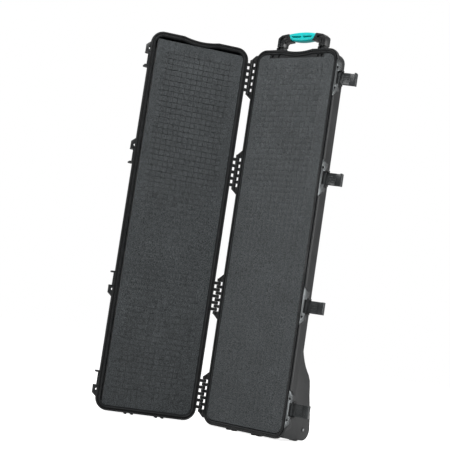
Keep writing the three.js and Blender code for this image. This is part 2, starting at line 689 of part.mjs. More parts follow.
// One latch about its own pin at the origin, closed: z runs up past the lid's catch bar.
function latch() {
  const half = LATCH_WIDTH / 2;
  const inner = LATCH_OFFSET;
  const outer = LATCH_OFFSET + LATCH_THICKNESS;
  const lip = CATCH_HEIGHT + LATCH_DROP + 3 * GAP;
  const tip = -HOOK_REACH;
  const plate = prismXZ([
    [inner, -LATCH_KNUCKLE + 2],
    [outer, 0],
    [outer, LATCH_LENGTH - LIP_LENGTH],
    [outer + 3, LATCH_LENGTH - 5],
    [outer + 1, LATCH_LENGTH],
    [tip + HOOK_TAPER, LATCH_LENGTH - HOOK_TAPER],
    [tip, lip + HOOK_TAPER],
    [tip, lip],
    [inner, lip],
  ], -half, half);
  const knuckle = rodY(0, 0, LATCH_KNUCKLE, -half, half, 14);
  const grooveEnd = lip - GROOVE_START + GROOVE_ACROSS;
  const groove = box(
    inner - 1, inner + SLOT_DEPTH, -half - 1, half + 1,
    grooveEnd - GROOVE_ACROSS, grooveEnd,
  );
  const slotHalf = half - 2 * LATCH_PIN_RADIUS - LATCH_OFFSET;
  const slot = box(
    -LATCH_KNUCKLE - 1, inner + SLOT_DEPTH, -slotHalf, slotHalf,
    SLOT_START, SLOT_START + SLOT_HEIGHT,
  );
  const bore = rodY(0, 0, LATCH_PIN_RADIUS + 2 * GAP, -half - 1, half + 1, 12);
  return cut(join(plate, knuckle), groove, slot, bore);
}

// ---------------------------------------------------------------- handle

// The frame's outline: two arms, sloping shoulders and the bar that the grip wraps.
function handleOutline() {
  const half = HANDLE_WIDTH / 2;
  const inside = half - ARM_WIDTH;
  const foot = HANDLE_Y + CHEEK_RADIUS + 3 * GAP;
  const shoulder = CROWN_Y - SHOULDER_DROP;
  const bar = CROWN_Y - BAR_BELOW - BAR;
  const rightArm = [
    [inside, foot],
    [half, foot],
    [half, shoulder],
    [half - SHOULDER_RUN / 3, shoulder + SHOULDER_DROP / 2],
    [half - SHOULDER_RUN, CROWN_Y - GRIP_CROWN],
  ];
  const leftArm = rightArm.map(([x, y]) => [-x, y]).reverse();
  const opening = [
    [-inside, foot + ARM_WIDTH / 2],
    [-GRIP_LENGTH / 2, bar],
    [GRIP_LENGTH / 2, bar],
    [inside, foot + ARM_WIDTH / 2],
  ];
  return [...rightArm, ...leftArm, ...opening].map(([x, y]) => [MIDDLE + x, y]);
}

// The channel moulded in the face of one arm.
function armChannel(side) {
  const outer = HANDLE_WIDTH / 2 - (ARM_WIDTH - ARM_GROOVE) / 2;
  const inner = outer - ARM_GROOVE;
  const foot = HANDLE_Y + CHEEK_RADIUS + ARM_GROOVE / 2;
  const shoulder = CROWN_Y - SHOULDER_DROP;
  const top = CROWN_Y - GRIP_CROWN - ARM_GROOVE_DEPTH;
  return [
    [inner, foot],
    [outer, foot],
    [outer, shoulder - 2],
    [GRIP_LENGTH / 2 + ARM_GROOVE / 2, top],
    [GRIP_LENGTH / 2 + ARM_GROOVE / 2, top - ARM_GROOVE],
    [inner, shoulder - ARM_GROOVE],
  ].map(([x, y]) => [MIDDLE + side * x, y]);
}

const barBox = (gap) => box(
  MIDDLE - GRIP_LENGTH / 2 - 1, MIDDLE + GRIP_LENGTH / 2 + 1,
  CROWN_Y - BAR_BELOW - BAR - gap, CROWN_Y - BAR_BELOW + gap,
  -HANDLE_DROP - BAR / 2 - gap, -HANDLE_DROP + BAR / 2 + gap,
);

function handleFrame() {
  const back = -HANDLE_DROP - HANDLE_THICKNESS / 2;
  const front = -HANDLE_DROP + HANDLE_THICKNESS / 2;
  const half = GRIP_LENGTH / 2 + GAP;
  let frame = prismXY(handleOutline(), back, front);
  frame = cut(frame, cut(box(MIDDLE - half, MIDDLE + half, HANDLE_Y, FAR, -FAR, FAR), barBox(0)));
  for (const side of [-1, 1]) {
    frame = cut(frame, prismXY(armChannel(side), front - ARM_GROOVE_DEPTH, front + 1));
    frame = cut(frame, prismXY(armChannel(side), back - 1, back + ARM_GROOVE_DEPTH));
  }
  for (const x of armMiddles) {
    const left = x - ARM_ROOT / 2;
    const right = x + ARM_ROOT / 2;
    const neck = box(
      left, right, HANDLE_Y, HANDLE_Y + CHEEK_RADIUS + ARM_GROOVE / 2,
      -HANDLE_DROP - ARM_ROOT_RADIUS, -HANDLE_DROP + ARM_ROOT_RADIUS,
    );
    frame = join(frame, neck, rodX(HANDLE_Y, -HANDLE_DROP, ARM_ROOT_RADIUS, left, right, 16));
    frame = cut(frame, rodX(HANDLE_Y, -HANDLE_DROP, HANDLE_PIN_RADIUS + 2 * GAP, left - 1, right + 1, 12));
  }
  return frame;
}

// A crowned sleeve round the bar, with two finger slits in its face.
function handleGrip() {
  const levels = [];
  const steps = 6;
  for (let i = 0; i <= steps; i += 1) {
    const along = (2 * i) / steps - 1;
    const crown = GRIP_CROWN * along ** 2;
    const top = CROWN_Y - crown;
    const bottom = CROWN_Y - 2 * GRIP_CROWN - GRIP_HEIGHT + crown;
    const back = -HANDLE_DROP - GRIP_THICKNESS / 2;
    const front = -HANDLE_DROP + GRIP_THICKNESS / 2;
    const round = GRIP_ROUND;
    const outline = [
      ...arc(top - round, front - round, round, 0, 90, 2),
      ...arc(bottom + round, front - round, round, 90, 180, 2),
      ...arc(bottom + round, back + round, round, 180, 270, 2),
      ...arc(top - round, back + round, round, 270, 360, 2),
    ];
    levels.push({ outline, w: (along * GRIP_LENGTH) / 2 });
  }
  const sleeve = solidOf(loft(levels).applyMatrix4(ALONG_X).translate(MIDDLE, 0, 0));
  const slitY = CROWN_Y - BAR_BELOW - BAR / 2;
  const slits = [-1, 1].map((side) => {
    const ends = [MIDDLE + side * 4, MIDDLE + side * (4 + SLIT_LENGTH)];
    return box(
      Math.min(...ends), Math.max(...ends), slitY - SLIT_WIDTH / 2, slitY + SLIT_WIDTH / 2,
      -HANDLE_DROP + BAR / 2 - 1, 1,
    );
  });
  return cut(sleeve, barBox(GAP), ...slits);
}

// ---------------------------------------------------------------- assembly

const base = new THREE.Group();
const lid = new THREE.Group();
lid.rotation.y = THREE.MathUtils.degToRad(180 - LID_OPEN);

piece(base, 'base_shell', baseShell(), shellPlastic);
const basePadTop = padTop(BASE_DEPTH);
piece(base, 'base_foam_pad', baseFoam(-BASE_DEPTH, basePadTop), padFoam);
piece(base, 'base_foam_cubed', baseFoam(basePadTop + GAP, -BASE_FOAM_DROP), foam);
piece(base, 'pressure_valve', valve(), latchPlastic);

const lidPadTop = padTop(LID_DEPTH);
piece(lid, 'lid_shell', lidShell(), shellPlastic);
piece(lid, 'lid_seal', seal(), sealRubber);
piece(lid, 'lid_foam_pad', foamRoom(-MIDDLE, LID_DEPTH, -LID_DEPTH, lidPadTop), padFoam);
piece(lid, 'lid_foam_cubed', foamRoom(-MIDDLE, LID_DEPTH, lidPadTop + GAP, -LID_FOAM_DROP), foam);

LATCH_STATIONS.forEach((station, i) => {
  piece(base, `lock_plate_${i + 1}`, lockPlate(station), steel);
  piece(base, `latch_pin_${i + 1}`, latchPin(station, 0), steel);
  const lever = piece(base, `latch_${i + 1}`, latch(), latchPlastic);
  lever.position.set(LATCH_X, station, -LATCH_DROP);
  lever.rotation.y = THREE.MathUtils.degToRad(LATCH_OPEN);
});

HINGE_STATIONS.forEach((station, i) => {
  piece(base, `hinge_pin_${i + 1}`, hingePin(station), steel);
});

piece(base, 'handle_frame', handleFrame(), armPlastic);
piece(base, 'handle_grip', handleGrip(), gripRubber);
armMiddles.forEach((x, i) => {
  piece(base, `handle_pin_${i + 1}`, handlePin(x, 0), steel);
});

housingSides().forEach((side, i) => {
  piece(base, `wheel_axle_${i + 1}`, axle(side), steel);
  piece(base, `wheel_hub_${i + 1}`, wheelHub(side), hubPlastic);
  piece(base, `wheel_tyre_${i + 1}`, wheelTyre(side), tyreRubber);
});

// Stand the case on its wheel end, with the origin under the middle of its box.
const stood = new THREE.Group();
stood.add(base, lid);
stood.rotation.x = Math.PI / 2;
const equipmentCase = new THREE.Group();
equipmentCase.add(stood);
equipmentCase.updateMatrixWorld(true);
const bounds = new THREE.Box3().setFromObject(equipmentCase, true);
const middle = bounds.getCenter(new THREE.Vector3());
stood.position.set(-middle.x, -middle.y, -bounds.min.z);

export default equipmentCase;
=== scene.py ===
"""The looks of the long wheeled equipment case: shells, foam, latches, hinges, handle and wheels.

Every piece is drawn in millimetres in one of the case's own frames and then placed in the row frame:
CASE has x from the hinge axis across the base, y along the case (the handle end is +y) and z out of the
open side. LID is the same frame turned with the open lid, which lies at negative x. A latch has its own
frame about its pin, drawn closed: x away from the case, z past the parting plane.
"""

import json
import math
import random

import bmesh
import bpy
from mathutils import Matrix, Vector


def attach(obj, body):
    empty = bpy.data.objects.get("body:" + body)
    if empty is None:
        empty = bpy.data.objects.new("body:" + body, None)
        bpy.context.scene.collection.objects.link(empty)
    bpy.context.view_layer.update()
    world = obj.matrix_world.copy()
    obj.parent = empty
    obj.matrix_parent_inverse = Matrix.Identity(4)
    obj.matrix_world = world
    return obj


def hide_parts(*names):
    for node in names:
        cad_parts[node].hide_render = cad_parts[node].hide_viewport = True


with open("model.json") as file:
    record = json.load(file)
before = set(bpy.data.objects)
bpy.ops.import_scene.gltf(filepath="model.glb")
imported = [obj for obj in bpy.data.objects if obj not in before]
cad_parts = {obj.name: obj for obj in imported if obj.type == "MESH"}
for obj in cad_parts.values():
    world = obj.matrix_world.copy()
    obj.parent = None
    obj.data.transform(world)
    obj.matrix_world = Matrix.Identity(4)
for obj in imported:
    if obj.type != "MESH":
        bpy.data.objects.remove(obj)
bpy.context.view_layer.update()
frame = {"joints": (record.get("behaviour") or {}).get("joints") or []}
joints = {joint["name"]: joint for joint in frame["joints"]}
random.seed(7)

# ---------------------------------------------------------------- sizes, in millimetres

LENGTH, WIDTH, CORNER = 1390, 374, 46
BASE_DEPTH, LID_DEPTH = 84, 58
RIM_HEIGHT, RIM_SEAT = 12, 0.3
CAVITY_INSET, FLOOR = 18, 5
DIP_WIDTH, DIP_DEPTH = 132, 8.5
HINGE_OUT, HINGE_LENGTH, KNUCKLES, KNUCKLE_RADIUS = 15, 132, 11, 7.5
HINGE_STATIONS = (592, 232, -232, -592)
LATCH_WIDTH, LATCH_GAP = 44, 0.35
EAR_OUT, EAR_HEIGHT, EAR_STRAIGHT, EAR_CHAMFER = 15, 11, 28, 20
EAR_ROOT = 8
LEDGE_OUT, LEDGE_HEIGHT = 4.5, 5
HOLE_OUT, HOLE_OFFSET, HOLE_RADIUS = 1.5, 37, 4
PLATE_THICKNESS, PLATE_MARGIN, PLATE_INBOARD = 1.5, 1.0, 5.4
SEAT_DEPTH, SEAT_MARGIN, SEAT_INBOARD = 2.3, 0.65, 5.8
LUG_THICKNESS, LUG_OUT, RIB_OUT, CATCH_IN = 6, 19, 11, 4.5
RIB_HEIGHT, CATCH_HEIGHT, CATCH_THICKNESS = 46, 40, 5
RECESS_WIDTH, RECESS_DEPTH, RECESS_WALL = 236, 27, 4
FOAM_CELL, FOAM_BORDER, FOAM_GAP = 20, 26, 0.8
BASE_FOAM_DROP, LID_FOAM_DROP = 2, 8
LID_FOAM_SHY = 8
CUT_HALF_WIDTH = 1.15
HANDLE_REACH, ARM_MIDDLE = 65, 93
FOOT_RIBS = (-69, -45, 45, 69)

END = LENGTH / 2
FAR_EDGE = HINGE_OUT + WIDTH
MIDDLE = HINGE_OUT + WIDTH / 2
FACE = -RIM_SEAT
SLOT = LATCH_WIDTH / 2 + LATCH_GAP
RECESS_FACE = END - RECESS_DEPTH
GROUND = -END - 5

# ---------------------------------------------------------------- frames

MM = 0.001
hinge_at = Vector(joints["lid_hinge"]["pos_m"])
OPEN_ANGLE = joints["lid_hinge"]["range_deg"][1]
LATCH_ANGLE = joints["latch_1_pivot"]["range_deg"][1]
CASE = Matrix.Translation(hinge_at) @ Matrix((
    (MM, 0, 0, 0), (0, 0, -MM, 0), (0, MM, 0, 0), (0, 0, 0, 1)))
LID = CASE @ Matrix.Rotation(math.radians(180 - OPEN_ANGLE), 4, "Y")


def in_case(point):
    """A point of the row frame, in metres, in the case frame."""
    return CASE.inverted() @ Vector(point)


def latch_frame(index):
    pivot = in_case(joints[f"latch_{index}_pivot"]["pos_m"])
    return CASE @ Matrix.Translation(pivot) @ Matrix.Rotation(math.radians(LATCH_ANGLE), 4, "Y")


LATCH_STATIONS = [round(in_case(joints[f"latch_{i}_pivot"]["pos_m"]).y) for i in (1, 2, 3, 4)]
LATCH_PIN = in_case(joints["latch_1_pivot"]["pos_m"])
HANDLE_PIN = in_case(joints["handle_fold"]["pos_m"])
AXLES = [in_case(joints[f"wheel_{i}_spin"]["pos_m"]) for i in (1, 2)]


# ---------------------------------------------------------------- materials

def srgb(red, green, blue):
    """A display colour from 0 to 255 as the shader's linear colour."""
    def linear(value):
        value /= 255
        return value / 12.92 if value <= 0.04045 else ((value + 0.055) / 1.055) ** 2.4
    return (linear(red), linear(green), linear(blue), 1)


class Shader:
    """A material's node tree with short ways to add and link nodes."""

    def __init__(self, name):
        self.material = bpy.data.materials.new(name)
        self.material.use_nodes = True
        self.tree = self.material.node_tree
        self.body = self.tree.nodes["Principled BSDF"]
        self.where = self.tree.nodes.new("ShaderNodeTexCoord").outputs["Object"]

    def add(self, kind, **values):
        node = self.tree.nodes.new(kind)
        for key, value in values.items():
            if key in node.inputs:
                node.inputs[key].default_value = value
            else:
                setattr(node, key, value)
        return node

    def link(self, source, target):
        self.tree.links.new(source, target)

    def noise(self, scale, detail=2, stretch=None):
        node = self.add("ShaderNodeTexNoise", Scale=scale, Detail=detail)
        where = self.where
        if stretch:
            mapping = self.add("ShaderNodeMapping", Scale=stretch)
            self.link(where, mapping.inputs["Vector"])
            where = mapping.outputs["Vector"]
        self.link(where, node.inputs["Vector"])
        return node.outputs["Fac"]

    def cells(self, scale):
        node = self.add("ShaderNodeTexVoronoi", Scale=scale)
        self.link(self.where, node.inputs["Vector"])
        return node.outputs["Distance"]

    def ramp(self, source, stops):
        node = self.add("ShaderNodeValToRGB")
        ramp = node.color_ramp
        while len(ramp.elements) < len(stops):
            ramp.elements.new(0.5)
        for element, (position, colour) in zip(ramp.elements, stops):
            element.position = position
            element.color = colour
        self.link(source, node.inputs["Fac"])
        return node.outputs["Color"]

    def spread(self, source, low, high, start=0.0, stop=1.0):
        node = self.add("ShaderNodeMapRange")
        node.inputs["From Min"].default_value = start
        node.inputs["From Max"].default_value = stop
        node.inputs["To Min"].default_value = low
        node.inputs["To Max"].default_value = high
        self.link(source, node.inputs["Value"])
        return node.outputs["Result"]

    def bump(self, *layers):
        """Layers are (height source, strength, distance in metres), the coarsest first."""
        normal = None
        for source, strength, distance in layers:
            node = self.add("ShaderNodeBump", Strength=strength, Distance=distance)
            self.link(source, node.inputs["Height"])
            if normal:
                self.link(normal, node.inputs["Normal"])
            normal = node.outputs["Normal"]
        self.link(normal, self.body.inputs["Normal"])

    def set(self, **values):
        for key, value in values.items():
            self.body.inputs[key.replace("_", " ")].default_value = value
        return self


def moulded_plastic(name, dark, light, roughness, grain):
    """Dark moulded plastic: fine spark-eroded grain, faint mottling and scuffed patches."""
    shader = Shader(name)
    mottle = shader.noise(34, 5)
    shader.link(shader.ramp(mottle, [(0.35, dark), (0.7, light)]), shader.body.inputs["Base Color"])
    scuffs = shader.noise(12, 8)
    shader.link(shader.spread(scuffs, roughness - 0.07, roughness + 0.1, 0.3, 0.7),
                shader.body.inputs["Roughness"])
    shader.bump((shader.noise(2600, 3), grain, 0.0004), (shader.cells(1500), grain * 0.5, 0.0002))
    shader.set(Specular_IOR_Level=0.45)
    return shader.material


def foam_material(name, dark, light, pore):
    """Open-cell foam: pores, a coarse fleck and a slow variation across the block."""
    shader = Shader(name)
    fleck = shader.noise(460, 3)
    colour = shader.ramp(fleck, [(0.4, dark), (0.6, light)])
    slow = shader.ramp(shader.noise(9, 3), [(0.3, (0.9, 0.9, 0.9, 1)), (0.7, (1.08, 1.08, 1.08, 1))])
    mix = shader.add("ShaderNodeMix", data_type="RGBA", blend_type="MULTIPLY")
    mix.inputs["Factor"].default_value = 1
    shader.link(colour, mix.inputs["A"])
    shader.link(slow, mix.inputs["B"])
    shader.link(mix.outputs["Result"], shader.body.inputs["Base Color"])
    shader.bump((shader.noise(420, 4), 0.5, pore), (shader.cells(1300), 0.9, pore * 0.5))
    shader.set(Roughness=0.97, Specular_IOR_Level=0.12, Sheen_Weight=0.15, Sheen_Roughness=0.6)
    return shader.material


def rubber(name, colour, roughness, grain=0.15):
    shader = Shader(name)
    pale = tuple(min(1, channel * 1.25) for channel in colour[:3]) + (1,)
    shader.link(shader.ramp(shader.noise(60, 4), [(0.3, colour), (0.75, pale)]),
                shader.body.inputs["Base Color"])
    shader.bump((shader.noise(1800, 3), grain, 0.0003))
    shader.set(Roughness=roughness, Specular_IOR_Level=0.4)
    return shader.material


def brushed_steel(name, colour, roughness, stretch):
    shader = Shader(name)
    lines = shader.noise(900, 3, stretch)
    shader.link(shader.spread(lines, roughness - 0.08, roughness + 0.12, 0.3, 0.7),
                shader.body.inputs["Roughness"])
    shader.bump((lines, 0.12, 0.0002))
    shader.set(Base_Color=colour, Metallic=1.0)
    return shader.material


SHELL = moulded_plastic("shell_plastic", srgb(22, 24, 25), srgb(31, 33, 34), 0.36, 0.2)
LATCH = moulded_plastic("latch_plastic", srgb(36, 39, 40), srgb(50, 53, 54), 0.32, 0.15)
ARM = moulded_plastic("arm_plastic", srgb(20, 21, 22), srgb(34, 36, 37), 0.3, 0.12)
HUB = moulded_plastic("hub_plastic", srgb(40, 42, 43), srgb(52, 54, 55), 0.5, 0.2)
# A near-black copy of the shell plastic that paints shade into colour: the hinge knuckles look dark only from
# the shade they sit in. The latch lugs, lid catches and handle cheeks share it.
SHADE_BLACK = moulded_plastic("shade_black_plastic", srgb(10, 11, 12), srgb(18, 19, 20), 0.45, 0.2)
FOAM = foam_material("cubed_foam", srgb(24, 27, 28), srgb(92, 96, 98), 0.001)
PAD = foam_material("pad_foam", srgb(50, 53, 54), srgb(80, 83, 84), 0.001)
SEAL = rubber("seal_rubber", srgb(14, 14, 15), 0.65)
TYRE = rubber("tyre_rubber", srgb(18, 18, 18), 0.75, 0.3)
GRIP = rubber("grip_rubber", srgb(6, 184, 184), 0.38)
PLATE = brushed_steel("plate_steel", srgb(118, 121, 122), 0.36, (1, 1, 12))
PIN = brushed_steel("pin_steel", srgb(150, 152, 154), 0.3, (12, 12, 1))


# ---------------------------------------------------------------- mesh helpers

def smooth(obj, angle=32):
    obj.data.shade_smooth()
    obj.data.set_sharp_from_angle(angle=math.radians(angle))


def settle(obj):
    """Applies an object's modifiers to its mesh."""
    graph = bpy.context.evaluated_depsgraph_get()
    graph.update()
    mesh = bpy.data.meshes.new_from_object(obj.evaluated_get(graph))
    old = obj.data
    obj.modifiers.clear()
    obj.data = mesh
    bpy.data.meshes.remove(old)


def raw(points, faces, place):
    """An object with consistent outward faces, from points in a local frame."""
    mesh = bpy.data.meshes.new("raw")
    mesh.from_pydata([place @ Vector(point) for point in points], [], faces)
    work = bmesh.new()
    work.from_mesh(mesh)
    bmesh.ops.remove_doubles(work, verts=work.verts, dist=1e-7)
    bmesh.ops.recalc_face_normals(work, faces=work.faces)
    work.to_mesh(mesh)
    work.free()
    obj = bpy.data.objects.new("raw", mesh)
    bpy.context.scene.collection.objects.link(obj)
    return obj


def carve(obj, *tools, operation="DIFFERENCE"):
    for tool in tools:
        modifier = obj.modifiers.new("carve", "BOOLEAN")
        modifier.operation = operation
        modifier.solver = "EXACT"
        modifier.object = tool
    settle(obj)
    for tool in tools:
        mesh = tool.data
        bpy.data.objects.remove(tool)
        bpy.data.meshes.remove(mesh)
    return obj


def bevelled(obj, width, segments=2, angle=35):
    modifier = obj.modifiers.new("bevel", "BEVEL")
    modifier.width = width * MM
    modifier.segments = segments
    modifier.limit_method = "ANGLE"
    modifier.angle_limit = math.radians(angle)
    modifier.harden_normals = False
    settle(obj)
    return obj


def finish_piece(obj, name, body, material, replaces=(), angle=32):
    obj.name = name
    obj.data.name = name
    obj.data.materials.clear()
    obj.data.materials.append(material)
    smooth(obj, angle)
    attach(obj, body)
    if replaces:
        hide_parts(*replaces)
    return obj


def merged(objects):
    """Joins objects into the first one."""
    first = objects[0]
    work = bmesh.new()
    for obj in objects:
        work.from_mesh(obj.data)
    work.to_mesh(first.data)
    work.free()
    for obj in objects[1:]:
        mesh = obj.data
        bpy.data.objects.remove(obj)
        bpy.data.meshes.remove(mesh)
    return first


def loft(rings, place, close=True):
    """A closed body through rings with equally many points, or a hoop if it isn't closed."""
    count = len(rings[0])
    points = [point for ring in rings for point in ring]
    faces = []
    for level in range(len(rings) - 1 if close else len(rings)):
        for i in range(count):
            a = level * count
            b = (level + 1) % len(rings) * count
            following = (i + 1) % count
            faces.append((a + i, a + following, b + following, b + i))
    if close:
        faces.append(tuple(reversed(range(count))))
        faces.append(tuple(range((len(rings) - 1) * count, len(rings) * count)))
    return raw(points, faces, place)


AXES = {"x": lambda u, v, w: (w, u, v), "y": lambda u, v, w: (u, w, v), "z": lambda u, v, w: (u, v, w)}


def prism(outline, axis, low, high, place):
    """An outline in the two axes across the named one, in x, y, z order, run from low to high."""
    turn = AXES[axis]
    return loft([[turn(u, v, w) for u, v in outline] for w in (low, high)], place)


def block(low, high, place):
    outline = [(low[0], low[1]), (high[0], low[1]), (high[0], high[1]), (low[0], high[1])]
    return prism(outline, "z", low[2], high[2], place)


def turned(profile, centre, axis, place, steps=40):
    """A solid of revolution: the profile gives radius and distance along the axis."""
    turn = AXES[axis]
    flat = {"x": (centre[1], centre[2], centre[0]), "y": (centre[0], centre[2], centre[1]),
            "z": (centre[0], centre[1], centre[2])}[axis]
    rings = []
    for radius, along in profile:
        ring = []
        for i in range(steps):
            angle = 2 * math.pi * i / steps
            ring.append(turn(flat[0] + radius * math.cos(angle), flat[1] + radius * math.sin(angle),
                             flat[2] + along))
        rings.append(ring)
    return loft(rings, place)


def rod(centre, axis, radius, low, high, place, steps=24, chamfer=0.0):
    profile = [(radius - chamfer, low), (radius, low + chamfer), (radius, high - chamfer),
               (radius - chamfer, high)] if chamfer else [(radius, low), (radius, high)]
    return turned(profile, centre, axis, place, steps)


def arc(u, v, radius, start, stop, steps):
    """Points on a circular arc, with its angles in degrees."""
    points = []
    for i in range(steps + 1):
        angle = math.radians(start + (stop - start) * i / steps)
        points.append((u + radius * math.cos(angle), v + radius * math.sin(angle)))
    return points


def rim_outline(middle, inset, corner_steps=12, dip_steps=20):
    """The rim's outline drawn in by an inset, with the hand dip in the handle end."""
    half_x, half_y = WIDTH / 2 - inset, END - inset
    radius = max(CORNER - inset, CORNER / 6)
    left, right = middle - half_x + radius, middle + half_x - radius
    dip = []
    for i in range(dip_steps + 1):
        across = 1 - 2 * i / dip_steps
        dip.append((middle + across * DIP_WIDTH / 2, half_y - DIP_DEPTH * (1 - across * across)))
    return [
        *arc(right, -half_y + radius, radius, -90, 0, corner_steps),
        *arc(right, half_y - radius, radius, 0, 90, corner_steps),
        *dip,
        *arc(left, half_y - radius, radius, 90, 180, corner_steps),
        *arc(left, -half_y + radius, radius, 180, 270, corner_steps),
    ]


def swept_rim(middle, profile, place, close=True):
    """A body whose section, a list of (inset, height), runs round the rim."""
    rings = [[(x, y, z) for x, y in rim_outline(middle, inset)] for inset, z in profile]
    return loft(rings, place, close)


# ---------------------------------------------------------------- shells

def outer_wall(depth):
    """The wall's section from the floor up to the flange, with a rounded floor edge."""
    wall, edge = 12, 36
    points = []
    for i in range(9):
        angle = math.radians(90 * i / 8)
        points.append((wall + edge * (1 - math.sin(angle)), -depth + edge * 0.9 * (1 - math.cos(angle))))
    return [*points, (8.4, -18), (7.6, -15.5), (6, -13.6), (2, -12.4), (0.9, -11.8), (0.2, -10.8), (0, -9.5)]


def inner_wall(depth):
    floor = -depth + FLOOR
    return [(CAVITY_INSET, floor + 26), (CAVITY_INSET + 3, floor + 14), (CAVITY_INSET + 8, floor + 8),
            (CAVITY_INSET + 24, floor)]


# The rim face's section from the outer edge inwards: lips and grooves; the base has the sealing tongue.
BASE_RIM = [(0, -2.2), (0.5, -0.9), (1.4, FACE), (3.4, FACE), (3.9, -2.6), (5.9, -2.6), (6.4, -0.6),
            (6.8, 2.3), (7.4, 3), (8.6, 3), (9.2, 2.3), (9.6, -0.6), (10.2, -2.4), (12.4, -2.4), (12.9, FACE),
            (15.2, FACE), (16, -1.2), (17, -3.4), (CAVITY_INSET, -5)]
LID_RIM = [(0, -2.2), (0.5, -0.9), (1.4, FACE), (4.6, FACE), (5.3, -0.9), (5.4, -7.3), (10.6, -7.3),
           (10.7, -0.9), (11.4, FACE), (13.2, FACE), (14, -1.1), (14.6, -3.2), (16.6, -3.6),
           (CAVITY_INSET, -6.5)]


def has_hole(station, side):
    return abs(station) > END / 2 or side * station > 0


def ear_outline(station, ears, sign, inset=0.0):
    """The ears and the ledge between them at one latch; ears lists the sides that have an ear."""
    across = EAR_OUT + EAR_ROOT
    slope = math.hypot(EAR_CHAMFER, across)
    near, root = SLOT + inset, -EAR_ROOT + inset
    straight = SLOT + EAR_STRAIGHT - inset * (slope - EAR_CHAMFER) / across
    far = SLOT + EAR_STRAIGHT + EAR_CHAMFER - inset * (slope + EAR_CHAMFER) / across
    ear = [(LEDGE_OUT - inset, near), (EAR_OUT - inset, near), (EAR_OUT - inset, straight), (root, far)]
    bare = [(LEDGE_OUT - inset, near), (root, near)]
    upper = ear if 1 in ears else bare
    lower = [(x, -y) for x, y in reversed(ear if -1 in ears else bare)]
    return [(sign * (FAR_EDGE + x), station + y) for x, y in [*upper, *lower]]


def thick_ears(station, ears, sign, place):
    """The deeper part of each ear, beside the slot that the latch turns in."""
    pieces = []
    for side in ears:
        outline = [(sign * (FAR_EDGE + x), station + side * y) for x, y in (
            (-EAR_ROOT, SLOT), (EAR_OUT, SLOT), (EAR_OUT, SLOT + EAR_STRAIGHT),
            (-EAR_ROOT, SLOT + EAR_STRAIGHT + EAR_CHAMFER))]
        pieces.append(prism(outline, "z", FACE - EAR_HEIGHT, FACE - LEDGE_HEIGHT + 0.6, place))
    return pieces


def plate_seat(station):
    """The shallow room for one lock plate in the base's ears and ledge."""
    return prism(ear_outline(station, (-1, 1), 1, SEAT_MARGIN), "z", -SEAT_DEPTH, 1, CASE)


def ear_hole(station, side, sign, place, low=-30.0, high=2.0):
    centre = (sign * (FAR_EDGE + HOLE_OUT), station + side * HOLE_OFFSET, 0)
    return rod(centre, "z", HOLE_RADIUS, low, high, place, 24)


def foot_ribs(sign, place):
    """Ribs under the wheel end's rim, which stay out of the seal's groove."""
    pieces = []
    for across in FOOT_RIBS:
        x = sign * (MIDDLE + across)
        outline = [(GROUND, -10), (GROUND + 1, -3), (-END + 4.8, FACE), (-END + 4.8, -9), (-END + 9, -12),
                   (-END + 9, -44), (GROUND + 2, -36), (GROUND, -28)]
        pieces.append(bevelled(prism(outline, "x", x - 3, x + 3, place), 0.8))
    return pieces


def floor_panels(sign, depth, place, reach):
    """Raised panels with round corners on the outside of the floor."""
    pieces = []
    low, high = reach
    count = 3
    pitch = (high - low) / count
    for i in range(count):
        y0, y1 = low + i * pitch + 12, low + (i + 1) * pitch - 12
        x0, x1 = MIDDLE - 112, MIDDLE + 112
        ring = [*arc(x1 - 18, y0 + 18, 18, -90, 0, 5), *arc(x1 - 18, y1 - 18, 18, 0, 90, 5),
                *arc(x0 + 18, y1 - 18, 18, 90, 180, 5), *arc(x0 + 18, y0 + 18, 18, 180, 270, 5)]
        ring = [(sign * x, y) for x, y in ring]
        panel = prism(ring, "z", -depth - 2.2, -depth + 1, place)
        pieces.append(bevelled(panel, 1.6))
        groove_x = [MIDDLE - 62, MIDDLE, MIDDLE + 62]
        for x in groove_x:
            rib = prism([(sign * (x - 5), y0 + 16), (sign * (x + 5), y0 + 16), (sign * (x + 5), y1 - 16),
                         (sign * (x - 5), y1 - 16)], "z", -depth - 3.8, -depth, place)
            pieces.append(bevelled(rib, 1.5))
    return pieces


def hinge_knuckles(station, sign, first, place):
    pitch = HINGE_LENGTH / KNUCKLES
    pieces = []
    for i in range(first, KNUCKLES, 2):
        y0 = station - HINGE_LENGTH / 2 + i * pitch + 0.4
        y1 = y0 + pitch - 0.8
        barrel = rod((0, 0, 0), "y", KNUCKLE_RADIUS, y0, y1, place, 28, 0.7)
        outline = [(sign * 1, FACE), (sign * 20, FACE), (sign * 20, -10), (sign * 10, -10), (sign * 4, -7.5),
                   (sign * 0.5, -7.2)]
        arm = bevelled(prism(outline, "y", y0, y1, place), 0.7)
        pieces += [barrel, arm]
    return pieces


def hinge_shoulders(station, sign, place):
    """Buttresses that widen the flange at both ends of a hinge, with their ends cut at a slant."""
    half = HINGE_LENGTH / 2
    pieces = []
    for end in (-1, 1):
        outline = [(sign * x, station + end * y) for x, y in (
            (-6.5, half), (15.5, half + 17), (20, half + 17), (20, half - 1), (-6.5, half - 1))]
        pieces.append(bevelled(prism(outline, "z", -9, FACE, place), 0.8))
    return pieces


